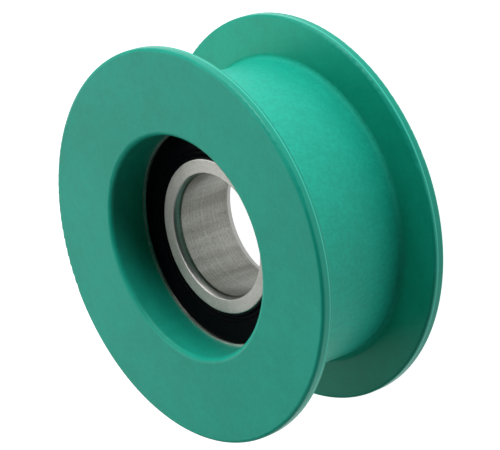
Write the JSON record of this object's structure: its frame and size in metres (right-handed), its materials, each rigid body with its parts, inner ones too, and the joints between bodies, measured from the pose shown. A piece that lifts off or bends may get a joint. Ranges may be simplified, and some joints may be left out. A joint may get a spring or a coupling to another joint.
{
  "type": "idler pulley",
  "caption": "Plastic belt idler pulley with a flange on each side, a flat belt seat and a sealed ball bearing moulded into its hub.",
  "frame": {"origin": "centre of the bore, half way between the two flange faces", "axes": "+Z along the bore, out of the face that the picture shows; X and Y are radial"},
  "size_m": [0.079, 0.079, 0.0316],
  "materials": {
    "body_plastic": "moulded green plastic, satin, with a fine mottled grain",
    "ring_steel": "ground bearing steel",
    "ball_steel": "polished bearing steel",
    "cage_steel": "pressed sheet steel",
    "insert_steel": "pressed sheet steel",
    "seal_rubber": "black moulded rubber, satin"
  },
  "bodies": {
    "inner_ring": {"bearing_inner_ring": "ring_steel"},
    "pulley": {"pulley_body": "body_plastic", "bearing_outer_ring": "ring_steel", "seal_top": "seal_rubber", "seal_bottom": "seal_rubber", "seal_insert_top": "insert_steel", "seal_insert_bottom": "insert_steel"},
    "cage": {"cage_half_top": "cage_steel", "cage_half_bottom": "cage_steel", "cage_rivet_1": "cage_steel", "cage_rivet_2": "cage_steel", "cage_rivet_3": "cage_steel", "cage_rivet_4": "cage_steel", "cage_rivet_5": "cage_steel", "cage_rivet_6": "cage_steel", "cage_rivet_7": "cage_steel", "cage_rivet_8": "cage_steel", "cage_rivet_9": "cage_steel"},
    "ball_1": {"ball_1": "ball_steel"},
    "ball_2": {"ball_2": "ball_steel"},
    "ball_3": {"ball_3": "ball_steel"},
    "ball_4": {"ball_4": "ball_steel"},
    "ball_5": {"ball_5": "ball_steel"},
    "ball_6": {"ball_6": "ball_steel"},
    "ball_7": {"ball_7": "ball_steel"},
    "ball_8": {"ball_8": "ball_steel"},
    "ball_9": {"ball_9": "ball_steel"}
  },
  "joints": [
    {"name": "pulley_spin", "type": "hinge", "parent": "inner_ring", "child": "pulley", "pos_m": [0, 0, 0], "axis": [0, 0, 1], "continuous": true},
    {"name": "cage_spin", "type": "hinge", "parent": "inner_ring", "child": "cage", "pos_m": [0, 0, 0], "axis": [0, 0, 1], "continuous": true},
    {"name": "ball_1_spin", "type": "hinge", "parent": "cage", "child": "ball_1", "pos_m": [0.01952, 0, 0], "axis": [0, 0, 1], "continuous": true},
    {"name": "ball_2_spin", "type": "hinge", "parent": "cage", "child": "ball_2", "pos_m": [0.01495, 0.01255, 0], "axis": [0, 0, 1], "continuous": true},
    {"name": "ball_3_spin", "type": "hinge", "parent": "cage", "child": "ball_3", "pos_m": [0.00339, 0.01922, 0], "axis": [0, 0, 1], "continuous": true},
    {"name": "ball_4_spin", "type": "hinge", "parent": "cage", "child": "ball_4", "pos_m": [-0.00976, 0.0169, 0], "axis": [0, 0, 1], "continuous": true},
    {"name": "ball_5_spin", "type": "hinge", "parent": "cage", "child": "ball_5", "pos_m": [-0.01834, 0.00668, 0], "axis": [0, 0, 1], "continuous": true},
    {"name": "ball_6_spin", "type": "hinge", "parent": "cage", "child": "ball_6", "pos_m": [-0.01834, -0.00668, 0], "axis": [0, 0, 1], "continuous": true},
    {"name": "ball_7_spin", "type": "hinge", "parent": "cage", "child": "ball_7", "pos_m": [-0.00976, -0.0169, 0], "axis": [0, 0, 1], "continuous": true},
    {"name": "ball_8_spin", "type": "hinge", "parent": "cage", "child": "ball_8", "pos_m": [0.00339, -0.01922, 0], "axis": [0, 0, 1], "continuous": true},
    {"name": "ball_9_spin", "type": "hinge", "parent": "cage", "child": "ball_9", "pos_m": [0.01495, -0.01255, 0], "axis": [0, 0, 1], "continuous": true}
  ],
  "couplings": [
    {"joint": "cage_spin", "follows": "pulley_spin", "ratio": 0.60167},
    {"joint": "ball_1_spin", "follows": "pulley_spin", "ratio": 2.3574},
    {"joint": "ball_2_spin", "follows": "pulley_spin", "ratio": 2.3574},
    {"joint": "ball_3_spin", "follows": "pulley_spin", "ratio": 2.3574},
    {"joint": "ball_4_spin", "follows": "pulley_spin", "ratio": 2.3574},
    {"joint": "ball_5_spin", "follows": "pulley_spin", "ratio": 2.3574},
    {"joint": "ball_6_spin", "follows": "pulley_spin", "ratio": 2.3574},
    {"joint": "ball_7_spin", "follows": "pulley_spin", "ratio": 2.3574},
    {"joint": "ball_8_spin", "follows": "pulley_spin", "ratio": 2.3574},
    {"joint": "ball_9_spin", "follows": "pulley_spin", "ratio": 2.3574}
  ]
}
